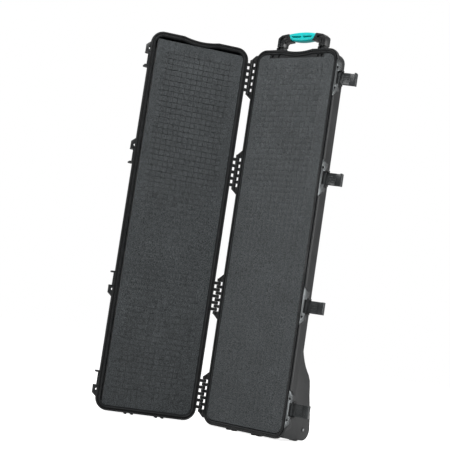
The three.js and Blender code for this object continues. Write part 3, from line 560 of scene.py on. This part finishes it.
def build_base_shell():
    profile = [*outer_wall(BASE_DEPTH), *BASE_RIM, *inner_wall(BASE_DEPTH)]
    shell = swept_rim(MIDDLE, profile, CASE)
    tools = [block((MIDDLE - RECESS_WIDTH / 2, RECESS_FACE, -BASE_DEPTH - 9),
                   (MIDDLE + RECESS_WIDTH / 2, END + 30, -RIM_HEIGHT - 0.4), CASE)]
    for station in LATCH_STATIONS:
        inboard = block((0, -END * 2, -9), (FAR_EDGE - SEAT_INBOARD, END * 2, 9), CASE)
        tools.append(carve(plate_seat(station), inboard))
    carve(shell, *tools)
    finish_piece(shell, "base_body", "base", SHELL, ("base_shell",), 28)

    pocket = block((MIDDLE - RECESS_WIDTH / 2 - RECESS_WALL, RECESS_FACE - RECESS_WALL, -BASE_DEPTH + 2),
                   (MIDDLE + RECESS_WIDTH / 2 + RECESS_WALL, END - 9, -6), CASE)
    hollow = block((MIDDLE - RECESS_WIDTH / 2, RECESS_FACE, -BASE_DEPTH - 9),
                   (MIDDLE + RECESS_WIDTH / 2, END + 30, -RIM_HEIGHT - 0.4), CASE)
    slots = [block((MIDDLE + x - 4, RECESS_FACE - 2.5, -11),
                   (MIDDLE + x + 4, END - CAVITY_INSET - 1, 1), CASE) for x in (-112, -84, 92, 108)]
    carve(pocket, hollow, *slots)
    finish_piece(pocket, "handle_pocket", "base", SHELL)

    ears = []
    for station in LATCH_STATIONS:
        ledge = prism(ear_outline(station, (-1, 1), 1), "z", FACE - LEDGE_HEIGHT, FACE, CASE)
        inboard = block((0, -END * 2, -9), (FAR_EDGE - 1, END * 2, 9), CASE)
        pieces = [carve(ledge, plate_seat(station), inboard), *thick_ears(station, (-1, 1), 1, CASE)]
        for piece in pieces:
            for side in (-1, 1):
                if has_hole(station, side):
                    carve(piece, ear_hole(station, side, 1, CASE))
            ears.append(bevelled(piece, 0.5))
    finish_piece(merged(ears), "base_ears", "base", SHELL)

    lugs = []
    fin = [(-17, -60), (LUG_OUT - 5.5, -26), (LUG_OUT - 1.6, -23.4), (LUG_OUT, -20), (LUG_OUT, -6.5),
           (LUG_OUT - 1.6, -3.6), (LUG_OUT - 5.5, -1.9), (-12, -1.9)]
    for station in LATCH_STATIONS:
        for side in (-1, 1):
            y0, y1 = sorted((station + side * SLOT, station + side * (SLOT + LUG_THICKNESS)))
            lugs.append(bevelled(prism([(FAR_EDGE + x, z) for x, z in fin], "y", y0, y1, CASE), 0.9))
    finish_piece(merged(lugs), "latch_lugs", "base", SHADE_BLACK)

    knuckles = []
    for station in HINGE_STATIONS:
        knuckles += hinge_knuckles(station, 1, 0, CASE) + hinge_shoulders(station, 1, CASE)
    # The knuckles take the near-black plastic as painted shade.
    finish_piece(merged(knuckles), "base_knuckles", "base", SHADE_BLACK)
    details = foot_ribs(1, CASE) + floor_panels(1, BASE_DEPTH, CASE, (-375, 655))
    finish_piece(merged(details), "base_ribs", "base", SHELL)


def build_housings():
    """Wheel housings: a ramp off the floor with a round end about the axle, and the web between."""
    radius, start = 38, -END + 317
    side_view = [(start, -48), (start, -60), (start - 20, -68), (start - 42, -79), (start - 58, -90),
                 (start - 70, -100), (start - 85, -114), (start - 103, -125), (start - 128, -131),
                 (start - 155, -136), (start - 222, -155),
                 *arc(AXLES[0].y, AXLES[0].z, radius, 290, 180, 18), (-END + 4, -48), (-END + 8, -12)]
    pieces = []
    for axle in AXLES:
        pod = prism(side_view, "x", axle.x - 37, axle.x + 37, CASE)
        carve(pod, rod(axle, "x", 47, -17, 17, CASE, 64))
        pieces.append(bevelled(pod, 2.4, 3, 40))
        for side in (-1, 1):
            ring = rod(axle, "x", 9, side * 37.4 - 0.9, side * 37.4 + 0.9, CASE, 32, 0.5)
            pieces.append(carve(ring, rod(axle, "x", 5.2, -60, 60, CASE, 24)))
    x0, x1 = AXLES[0].x + 36, AXLES[1].x - 36
    web = prism([(start - 42, -79), (start - 130, -108), (-END + 20, -108), (-END + 12, -104),
                 (-END + 12, -79)], "x", x0, x1, CASE)
    pieces.append(bevelled(web, 1.5))
    for i in range(1, 4):
        x = x0 + (x1 - x0) * i / 4
        rib = prism([(start - 60, -84), (start - 134, -110.5), (-END + 30, -110.5), (-END + 30, -90)],
                    "x", x - 3, x + 3, CASE)
        pieces.append(bevelled(rib, 1))
    finish_piece(merged(pieces), "wheel_housings", "base", SHELL)


def build_lid_shell():
    profile = [*outer_wall(LID_DEPTH), *LID_RIM, *inner_wall(LID_DEPTH)]
    shell = swept_rim(-MIDDLE, profile, LID)
    finish_piece(shell, "lid_body", "lid", SHELL, ("lid_shell",), 28)
    ears = []
    for station in LATCH_STATIONS:
        side = 1 if station > 0 else -1
        ledge = prism(ear_outline(station, (side,), -1), "z", FACE - LEDGE_HEIGHT, FACE, LID)
        for piece in (ledge, *thick_ears(station, (side,), -1, LID)):
            inboard = block((-FAR_EDGE + 1.2, -END * 2, -20), (0, END * 2, 9), LID)
            carve(piece, ear_hole(station, side, -1, LID), inboard)
            ears.append(bevelled(piece, 0.7))
    finish_piece(merged(ears), "lid_ears", "lid", SHELL)

    ribs = []
    guard = [(-16, -12), (-4.8, -9), (-4.8, FACE), (RIB_OUT - 5.5, FACE), (RIB_OUT - 1.6, -1.9),
             (RIB_OUT, -5.5), (RIB_OUT, -35), (RIB_OUT - 1.6, -38.6), (RIB_OUT - 5.5, -40.2),
             (-16, -RIB_HEIGHT)]
    for station in LATCH_STATIONS:
        inner = SLOT + LATCH_GAP
        for side in (-1, 1):
            y0, y1 = sorted((station + side * inner, station + side * (inner + LUG_THICKNESS)))
            ribs.append(bevelled(prism([(-FAR_EDGE - x, z) for x, z in guard], "y", y0, y1, LID), 0.8))
        bar = block((-FAR_EDGE + CATCH_IN, station - inner - 1, -CATCH_HEIGHT),
                    (-FAR_EDGE + 16, station + inner + 1, -CATCH_HEIGHT + CATCH_THICKNESS), LID)
        ribs.append(bevelled(bar, 1))
    finish_piece(merged(ribs), "lid_catches", "lid", SHADE_BLACK)

    knuckles = []
    for station in HINGE_STATIONS:
        knuckles += hinge_knuckles(station, -1, 1, LID)
    # The knuckles take the near-black plastic as painted shade.
    finish_piece(merged(knuckles), "lid_knuckles", "lid", SHADE_BLACK)
    details = foot_ribs(-1, LID) + floor_panels(-1, LID_DEPTH, LID, (-655, 655))
    finish_piece(merged(details), "lid_ribs", "lid", SHELL)
    section = [(5.9, -6.9), (5.9, -4.4), (6.6, -3.7), (9.4, -3.7), (10.1, -4.4), (10.1, -6.9)]
    seal = swept_rim(-MIDDLE, section, LID, close=False)
    finish_piece(seal, "lid_seal_strip", "lid", SEAL, ("lid_seal",))


# ---------------------------------------------------------------- foam

def groove_depth(name, y):
    """How far the cuts between the foam cubes gape, which varies along the case."""
    along = y / END
    if name == "lid":
        stops = ((-1, 2.0), (-0.5, 1.7), (-0.2, 0.7), (0.05, 0.7), (0.25, 2.6), (1, 2.9))
    else:
        stops = ((-1, 0.5), (-0.1, 0.4), (0.2, 0.8), (0.6, 1.2), (1, 1.5))
    for (low, first), (high, second) in zip(stops, stops[1:]):
        if along <= high:
            return first + (second - first) * (along - low) / (high - low)
    return stops[-1][1]


def foam_face(name, outline, top, place):
    """The scored top of a foam block: a plain border round a field of cubes with gaping cuts."""
    work = bmesh.new()
    work.faces.new([work.verts.new((x, y, top)) for x, y in outline])
    lows = [min(point[axis] for point in outline) + FOAM_BORDER for axis in (0, 1)]
    highs = [max(point[axis] for point in outline) - FOAM_BORDER for axis in (0, 1)]
    if name == "base":
        highs[1] = RECESS_FACE - FOAM_BORDER

    def score(axis, at, faces):
        point, normal = [0, 0, top], [0, 0, 0]
        point[axis], normal[axis] = at, 1
        parts = {item for face in faces for item in (face, *face.verts, *face.edges)}
        bmesh.ops.bisect_plane(work, geom=list(parts), dist=1e-4, plane_co=point, plane_no=normal)

    def field():
        return [face for face in work.faces
                if all(lows[axis] < face.calc_center_median()[axis] < highs[axis] for axis in (0, 1))]

    for axis in (0, 1):
        score(axis, lows[axis], work.faces)
        score(axis, highs[axis], work.faces)
    for axis in (0, 1):
        count = round((highs[axis] - lows[axis]) / FOAM_CELL)
        for i in range(1, count):
            score(axis, lows[axis] + (highs[axis] - lows[axis]) * i / count, field())
    cubes = field()
    corners = {vert for face in cubes for vert in face.verts
               if all(lows[axis] + 1 < vert.co[axis] < highs[axis] - 1 for axis in (0, 1))}
    bmesh.ops.inset_individual(work, faces=cubes, thickness=CUT_HALF_WIDTH, depth=0.0, use_even_offset=True)
    for face in cubes:
        rise = random.uniform(-0.3, 0.3)
        for vert in face.verts:
            vert.co.z += rise
    for vert in corners:
        vert.co.z -= groove_depth(name, vert.co.y) * random.uniform(0.8, 1.2)
    rim = [edge for edge in work.edges if edge.is_boundary]
    skirt = bmesh.ops.extrude_edge_only(work, edges=rim)
    for vert in [item for item in skirt["geom"] if isinstance(item, bmesh.types.BMVert)]:
        vert.co.z = top - 5
    bmesh.ops.recalc_face_normals(work, faces=work.faces)
    mesh = bpy.data.meshes.new(name)
    work.to_mesh(mesh)
    work.free()
    mesh.transform(place)
    obj = bpy.data.objects.new(name, mesh)
    bpy.context.scene.collection.objects.link(obj)
    return obj


def foam_outline(middle, inset, notch=None):
    """A foam block's outline: notched round the handle recess, or else cut straight below the lid's dip."""
    points = rim_outline(middle, inset, 6, 12)
    if notch is None:
        side, crest = -FAR_EDGE + inset + LID_FOAM_SHY, END - inset - DIP_DEPTH
        return [(max(x, side), min(y, crest)) for x, y in points]
    half, face = notch
    upper = [(x, y) for x, y in points if y < face or abs(x - middle) > half]
    result = []
    for i, point in enumerate(upper):
        result.append(point)
        following = upper[(i + 1) % len(upper)]
        if point[0] > middle + half and following[0] < middle - half and point[1] > face:
            edge = max(y for _, y in upper)
            result += [(middle + half, edge), (middle + half, face), (middle - half, face),
                       (middle - half, edge)]
    return result


def build_foam():
    gap = CAVITY_INSET + FOAM_GAP
    notch = (RECESS_WIDTH / 2 + RECESS_WALL + FOAM_GAP, RECESS_FACE - RECESS_WALL - FOAM_GAP)
    for name, middle, place, depth, drop, cut in (
            ("base", MIDDLE, CASE, BASE_DEPTH, BASE_FOAM_DROP, notch),
            ("lid", -MIDDLE, LID, LID_DEPTH, LID_FOAM_DROP, None)):
        outline = foam_outline(middle, gap, cut)
        top = foam_face(name, outline, -drop, place)
        side = prism(foam_outline(middle, gap + 0.3, cut), "z", -depth + 24, -drop - 3, place)
        foam = merged([top, side])
        finish_piece(foam, f"{name}_cubed_foam", name, FOAM, (f"{name}_foam_cubed",), 50)
        sheet = [(gap + 22, -depth + 6), (gap + 8, -depth + 14), (gap + 4, -depth + 18)]
        pad = swept_rim(middle, sheet, place)
        if name == "base":
            carve(pad, block((middle - notch[0], notch[1], -BASE_DEPTH), (middle + notch[0], END, 0), CASE))
        finish_piece(pad, f"{name}_foam_sheet", name, PAD, (f"{name}_foam_pad",))


# ---------------------------------------------------------------- latches and lock plates

def build_latch(index):
    """One latch lever: a plate with a hooked end, turning on a barrel; its inner face has a ribbed pocket."""
    place = latch_frame(index)
    half = LATCH_WIDTH / 2
    outline = [(3, -3.4), (6.6, -1.9), (8, 0.6), (8, 52), (8.4, 54.6), (10.4, 57.4), (11, 59.4), (10.6, 62.4),
               (9, 64), (-10.5, 61.3), (-13, 60.4), (-15.2, 58.4), (-16, 56), (-16, 53.6), (-15.4, 53.05),
               (2.4, 53.05), (3, 52.5)]
    plate = prism(outline, "y", -half, half, place)
    carve(plate,
          block((-6, -14.2, 4.5), (6, 14.2, 9), place),
          block((2, -half - 1, 39), (5.6, half + 1, 45), place),
          block((2, -half + 4, 14), (3.9, half - 4, 35.5), place),
          block((7.2, -half + 5, 16), (9, half - 5, 46), place))
    bevelled(plate, 0.7, 2, 40)
    barrel = carve(rod((0, 0, 0), "y", 5.5, -half, half, place, 28, 0.6),
                   block((-6, -14.2, 4.5), (6, 14.2, 9), place))
    ribs = [bevelled(block((2.9, y - 1.1, 13), (4.6, y + 1.1, 36.5), place), 0.5) for y in (-9, 0, 9)]
    latch = merged([plate, barrel, *ribs])
    finish_piece(latch, f"latch_lever_{index}", f"latch_{index}", LATCH, (f"latch_{index}",))


def build_lock_plates():
    for index, station in enumerate(LATCH_STATIONS, 1):
        top = FACE - LATCH_GAP / 2
        outline = ear_outline(station, (-1, 1), 1, PLATE_MARGIN)
        plate = prism(outline, "z", top - PLATE_THICKNESS, top, CASE)
        tools = [block((0, -END * 2, -9), (FAR_EDGE - PLATE_INBOARD, END * 2, 9), CASE)]
        tools += [ear_hole(station, side, 1, CASE) for side in (-1, 1) if has_hole(station, side)]
        carve(plate, *tools)
        bevelled(plate, 0.35, 2)
        finish_piece(plate, f"lock_plate_{index}_sheet", "base", PLATE,
                     (f"lock_plate_{index}",))


def build_pins():
    for index, station in enumerate(HINGE_STATIONS, 1):
        pin = rod((0, 0, 0), "y", 2.8, station - 65.6, station + 65.6, CASE, 20, 0.5)
        finish_piece(pin, f"hinge_rod_{index}", "base", PIN, (f"hinge_pin_{index}",))
    for index, station in enumerate(LATCH_STATIONS, 1):
        centre = (LATCH_PIN.x, station, LATCH_PIN.z)
        pin = rod(centre, "y", 2.4, -27.2, 27.2, CASE, 20, 0.4)
        finish_piece(pin, f"latch_rod_{index}", "base", PIN, (f"latch_pin_{index}",))
    for index, axle in enumerate(AXLES, 1):
        shaft = rod(axle, "x", 4, -36, 36, CASE, 24, 0.8)
        finish_piece(shaft, f"axle_rod_{index}", "base", PIN, (f"wheel_axle_{index}",))
        for side in (-1, 1):
            x = side * 37.6
            cap = rod(axle, "x", 5, x - 0.6, x + 0.6, CASE, 24, 0.4)
            finish_piece(cap, f"axle_end_{index}_{'in' if side < 0 else 'out'}", "base", PIN)


# ---------------------------------------------------------------- handle

def handle_outline():
    half, inside = 107, 79
    foot, shoulder, crown = HANDLE_PIN.y + 12.1, HANDLE_PIN.y + 45, HANDLE_PIN.y + HANDLE_REACH
    right = [(inside, foot), (half, foot), (half, shoulder - 4), (half - 1.5, shoulder + 1),
             (half - 14, shoulder + 10.5), (half - 28, crown - 7), (half - 42, crown - 5)]
    left = [(-x, y) for x, y in reversed(right)]
    opening = [(-inside, foot + 10), (-inside + 1.5, foot + 14), (-inside + 6, foot + 17.5),
               (-47, crown - 32), (47, crown - 32), (inside - 6, foot + 17.5), (inside - 1.5, foot + 14),
               (inside, foot + 10)]
    return [(MIDDLE + x, y) for x, y in [*right, *left, *opening]]


def arm_channel(side):
    outer, inner = 98.5, 87.5
    foot, shoulder, crown = HANDLE_PIN.y + 16.5, HANDLE_PIN.y + 45, HANDLE_PIN.y + HANDLE_REACH
    points = [(inner, foot), (outer, foot), (outer, shoulder - 3), (outer - 9, shoulder + 4.5),
              (66, crown - 13), (66, crown - 23), (inner - 2, shoulder - 8)]
    return [(MIDDLE + side * x, y) for x, y in points]


def build_handle():
    back, front = HANDLE_PIN.z - 16, HANDLE_PIN.z + 16
    frame_body = prism(handle_outline(), "z", back, front, CASE)
    crown = HANDLE_PIN.y + HANDLE_REACH
    room = [(MIDDLE + x, y) for x, y in ((-46.4, crown - 36), (46.4, crown - 36), (64.4, crown + 4),
                                         (-64.4, crown + 4))]
    tools = [prism(room, "z", back - 9, front + 9, CASE)]
    for side in (-1, 1):
        tools.append(prism(arm_channel(side), "z", front - 9, front + 4, CASE))
        tools.append(prism(arm_channel(side), "z", back - 4, back + 9, CASE))
    carve(frame_body, *tools)
    bevelled(frame_body, 1.6, 3, 35)
    parts = [frame_body]
    for side in (-1, 1):
        x = MIDDLE + side * ARM_MIDDLE
        neck = block((x - 8, HANDLE_PIN.y, HANDLE_PIN.z - 9),
                     (x + 8, HANDLE_PIN.y + 16, HANDLE_PIN.z + 9), CASE)
        parts.append(bevelled(neck, 0.8))
        parts.append(rod((x, HANDLE_PIN.y, HANDLE_PIN.z), "x", 9, -8, 8, CASE, 32, 0.8))
    finish_piece(merged(parts), "handle_arms", "handle", ARM, ("handle_frame",))

    rings = []
    steps, bulge = 24, 8
    for i in range(steps + 1):
        along = 2 * i / steps - 1
        crowning = 5 * along * along
        shrink = 1.2 if i in (0, steps) else 0
        z0, z1 = HANDLE_PIN.z - 17 + shrink, HANDLE_PIN.z + 17 - shrink
        top, bottom = crown - crowning - shrink, crown - 34 + crowning + shrink
        ring = [*arc(top - bulge, z1 - bulge, bulge, 0, 90, 6),
                *arc(bottom + bulge, z1 - bulge, bulge, 90, 180, 6),
                *arc(bottom + bulge, z0 + bulge, bulge, 180, 270, 6),
                *arc(top - bulge, z0 + bulge, bulge, 270, 360, 6)]
        rings.append([(MIDDLE + along * (46 + 16.5 * (y - crown + 34) / 34), y, z) for y, z in ring])
    grip = loft(rings, CASE)
    slit_y = crown - 17
    slits = []
    for side in (-1, 1):
        slit = [(MIDDLE + side * x, slit_y + y) for x, y in ((4, -3.4), (41, -3.4), (46, 3.4), (4, 3.4))]
        slits.append(prism(slit, "z", HANDLE_PIN.z - 2, HANDLE_PIN.z + 20, CASE))
    carve(grip, *slits)
    bevelled(grip, 0.8, 2, 45)
    finish_piece(grip, "handle_soft_grip", "handle", GRIP, ("handle_grip",), 40)

    for index, side in enumerate((-1, 1), 1):
        x = MIDDLE + side * ARM_MIDDLE
        centre = (x, HANDLE_PIN.y, HANDLE_PIN.z)
        pin = rod(centre, "x", 3.5, -15.2, 15.2, CASE, 24, 0.5)
        finish_piece(pin, f"handle_rod_{index}", "base", PIN, (f"handle_pin_{index}",))
        cheeks = []
        for direction in (-1, 1):
            outline = [(RECESS_FACE - 2, HANDLE_PIN.z - 11),
                       *arc(HANDLE_PIN.y, HANDLE_PIN.z, 11.7, -90, 0, 10),
                       (HANDLE_PIN.y + 11.7, -20), (HANDLE_PIN.y + 9, -17), (RECESS_FACE - 2, -17)]
            x0, x1 = sorted((x + direction * 8.35, x + direction * 16.35))
            cheeks.append(bevelled(prism(outline, "x", x0, x1, CASE), 0.9))
        finish_piece(merged(cheeks), f"handle_cheeks_{index}", "base", SHADE_BLACK)


# ---------------------------------------------------------------- wheels, valve

def build_wheel(index, axle):
    body = f"wheel_{index}"
    section = [(35, -14), (39.5, -14), (41.5, -13.2), (43.2, -11.4), (43.9, -9), (44, -6.6), (42.9, -6.2),
               (42.9, -5.4), (44, -5), (44, -0.9), (42.9, -0.5), (42.9, 0.5), (44, 0.9), (44, 5), (42.9, 5.4),
               (42.9, 6.2), (44, 6.6), (43.9, 9), (43.2, 11.4), (41.5, 13.2), (39.5, 14), (35, 14)]
    tube = turned(section, axle, "x", CASE, 72)
    carve(tube, rod(axle, "x", 35, -20, 20, CASE, 72))
    finish_piece(tube, f"tyre_{index}", body, TYRE, (f"wheel_tyre_{index}",), 40)
    hub = rod(axle, "x", 34.6, -14, 14, CASE, 72, 0.8)
    dishes = []
    for side in (-1, 1):
        low, high = sorted((side * 5, side * 15))
        ring = rod(axle, "x", 29.5, low, high, CASE, 60)
        dishes.append(carve(ring, rod(axle, "x", 11, -20, 20, CASE, 40)))
    carve(hub, *dishes, rod(axle, "x", 4.35, -20, 20, CASE, 24))
    bevelled(hub, 0.8, 2, 40)
    spokes = []
    for i in range(6):
        turn = Matrix.Translation(axle) @ Matrix.Rotation(math.pi * i / 3, 4, "X")
        spokes.append(bevelled(block((-11, 10, -2.2), (11, 30.5, 2.2), CASE @ turn), 0.7))
    finish_piece(merged([hub, *spokes]), f"hub_{index}", body, HUB, (f"wheel_hub_{index}",))


def build_valve():
    centre = (MIDDLE, RECESS_FACE, -BASE_DEPTH / 2)
    profile = [(6, -3), (6, 0.4), (11, 0.4), (11, 1.8), (9.8, 3), (5, 3), (4.4, 2), (0.01, 2)]
    cap = turned(profile, centre, "y", CASE, 40)
    finish_piece(cap, "valve_cap", "base", LATCH, ("pressure_valve",))


# ---------------------------------------------------------------- stage, light and camera

def build_stage():
    mesh = bpy.data.meshes.new("floor")
    reach = 12
    mesh.from_pydata([(-reach, -reach, 0), (reach, -reach, 0), (reach, reach, 0), (-reach, reach, 0)], [],
                     [(0, 1, 2, 3)])
    floor = bpy.data.objects.new("floor", mesh)
    bpy.context.scene.collection.objects.link(floor)
    material = bpy.data.materials.new("floor")
    material.use_nodes = True
    tree = material.node_tree
    body = tree.nodes["Principled BSDF"]
    body.inputs["Base Color"].default_value = (0.8, 0.8, 0.8, 1)
    body.inputs["Roughness"].default_value = 0.9
    body.inputs["Specular IOR Level"].default_value = 0.0
    glow = tree.nodes.new("ShaderNodeEmission")
    glow.inputs["Strength"].default_value = 0.85
    path = tree.nodes.new("ShaderNodeLightPath")
    none = tree.nodes.new("ShaderNodeEmission")
    none.inputs["Strength"].default_value = 0
    seen = tree.nodes.new("ShaderNodeMixShader")
    total = tree.nodes.new("ShaderNodeAddShader")
    tree.links.new(path.outputs["Is Camera Ray"], seen.inputs[0])
    tree.links.new(none.outputs[0], seen.inputs[1])
    tree.links.new(glow.outputs[0], seen.inputs[2])
    tree.links.new(body.outputs[0], total.inputs[0])
    tree.links.new(seen.outputs[0], total.inputs[1])
    tree.links.new(total.outputs[0], tree.nodes["Material Output"].inputs["Surface"])
    mesh.materials.append(material)


def build_world():
    world = bpy.data.worlds.new("studio")
    world.use_nodes = True
    bpy.context.scene.world = world
    tree = world.node_tree
    soft = tree.nodes["Background"]
    soft.inputs["Color"].default_value = (1, 1, 1, 1)
    soft.inputs["Strength"].default_value = 0.32
    white = tree.nodes.new("ShaderNodeBackground")
    white.inputs["Color"].default_value = (1, 1, 1, 1)
    white.inputs["Strength"].default_value = 1
    path = tree.nodes.new("ShaderNodeLightPath")
    mix = tree.nodes.new("ShaderNodeMixShader")
    tree.links.new(path.outputs["Is Camera Ray"], mix.inputs[0])
    tree.links.new(soft.outputs[0], mix.inputs[1])
    tree.links.new(white.outputs[0], mix.inputs[2])
    tree.links.new(mix.outputs[0], tree.nodes["World Output"].inputs["Surface"])


def softbox(name, place, aim, size, power):
    light = bpy.data.lights.new(name, "AREA")
    light.shape = "RECTANGLE"
    light.size, light.size_y = size
    light.energy = power
    obj = bpy.data.objects.new(name, light)
    obj.location = place
    obj.rotation_euler = (Vector(aim) - Vector(place)).to_track_quat("-Z", "Y").to_euler()
    bpy.context.scene.collection.objects.link(obj)


def build_lights():
    centre = (0, 0, 0.75)
    softbox("key", (1.0, -1.9, 2.9), (0, 0, 1.3), (1.8, 1.4), 66)
    softbox("fill", (-2.6, -3.7, 0.95), centre, (1.6, 1.1), 32)
    softbox("top", (0.2, 0.9, 4.2), centre, (3.0, 2.4), 45)
    softbox("rear", (3.2, 2.2, 1.2), centre, (1.6, 2.6), 70)


def build_camera():
    """The chosen view: turned about the case, a little below level, and rolled."""
    turn, tilt, roll = math.radians(39.87), math.radians(4.75), math.radians(8.55)
    to_camera = (Matrix.Rotation(-roll, 3, "Z") @ Matrix.Rotation(-tilt, 3, "X")
                 @ Matrix.Rotation(-turn, 3, "Y"))
    case_axes = Matrix(((1, 0, 0), (0, 0, -1), (0, 1, 0)))
    camera = bpy.data.cameras.new("camera")
    camera.sensor_width = 36
    camera.lens = 98.56
    camera.clip_end = 50
    obj = bpy.data.objects.new("camera", camera)
    place = (case_axes @ to_camera.transposed()).to_4x4()
    place.translation = CASE @ Vector((HINGE_OUT + 2883, -344.1, 3485.2))
    obj.matrix_world = place
    bpy.context.scene.collection.objects.link(obj)
    bpy.context.scene.camera = obj


build_camera()
build_base_shell()
build_housings()
build_lid_shell()
build_foam()
for latch_index in (1, 2, 3, 4):
    build_latch(latch_index)
build_lock_plates()
build_pins()
build_handle()
for wheel_index, wheel_axle in enumerate(AXLES, 1):
    build_wheel(wheel_index, wheel_axle)
build_valve()
build_stage()
build_world()
build_lights()
bpy.context.scene.view_settings.view_transform = "Standard"
